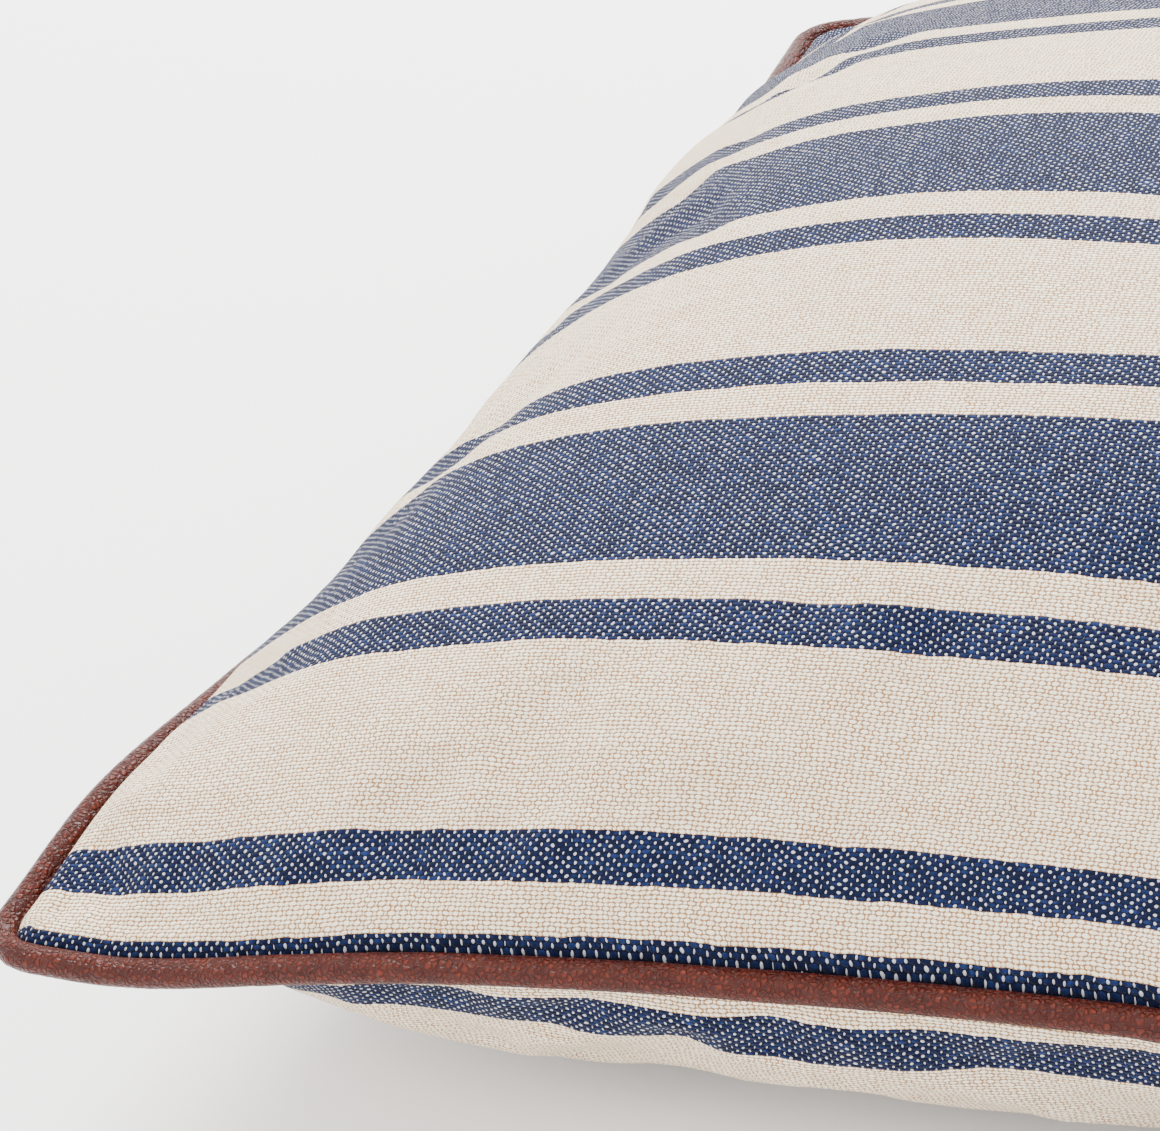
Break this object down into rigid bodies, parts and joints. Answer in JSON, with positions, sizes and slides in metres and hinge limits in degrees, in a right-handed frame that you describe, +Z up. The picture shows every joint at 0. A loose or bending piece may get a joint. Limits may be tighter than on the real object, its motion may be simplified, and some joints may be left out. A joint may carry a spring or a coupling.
{
  "type": "throw pillow",
  "caption": "Square throw pillow in a striped woven cover with leather piping round the seam, a zip along one side and a filled insert.",
  "frame": {"origin": "on the surface it lies on, under the centre of the pillow's outline", "axes": "+Z up out of the front panel, +X along the stripes, +Y towards the zip side"},
  "size_m": [0.5082, 0.5082, 0.15],
  "materials": {
    "woven_stripe": "plain weave of cream and navy yarns in wide and narrow stripes",
    "piping_leather": "pebbled red-brown leather with a soft gloss",
    "cotton_cord": "twisted cotton",
    "sewing_thread": "spun polyester thread",
    "zip_tape": "woven herringbone tape",
    "zip_coil": "moulded nylon coil",
    "zip_metal": "antique brass, worn at the edges",
    "insert_cotton": "downproof white cotton",
    "fibre_fill": "loose polyester fibre",
    "label_cotton": "blank satin tape"
  },
  "bodies": {
    "pillow": {"front_panel": "woven_stripe", "back_panel": "woven_stripe", "piping_leather": "piping_leather", "piping_cord": "cotton_cord", "seam_thread_front": "sewing_thread", "seam_thread_back": "sewing_thread", "zip_tape_front": "zip_tape", "zip_tape_back": "zip_tape", "zip_coil_front": "zip_coil", "zip_coil_back": "zip_coil", "zip_top_stops": "zip_metal", "zip_bottom_stop": "zip_metal", "insert_casing_front": "insert_cotton", "insert_casing_back": "insert_cotton", "insert_seam_thread": "sewing_thread", "fill_core": "fibre_fill", "care_label": "label_cotton"},
    "slider": {"zip_slider": "zip_metal"},
    "pull": {"zip_pull": "zip_metal"}
  },
  "joints": [
    {"name": "zip_travel", "type": "slide", "parent": "pillow", "child": "slider", "axis": [1, 0, 0], "range_m": [-0.2866, 0]},
    {"name": "pull_flip", "type": "hinge", "parent": "slider", "child": "pull", "pos_m": [0.1433, 0.2363, 0.05996], "axis": [0, -0.5446, -0.8387], "range_deg": [0, 180]}
  ]
}
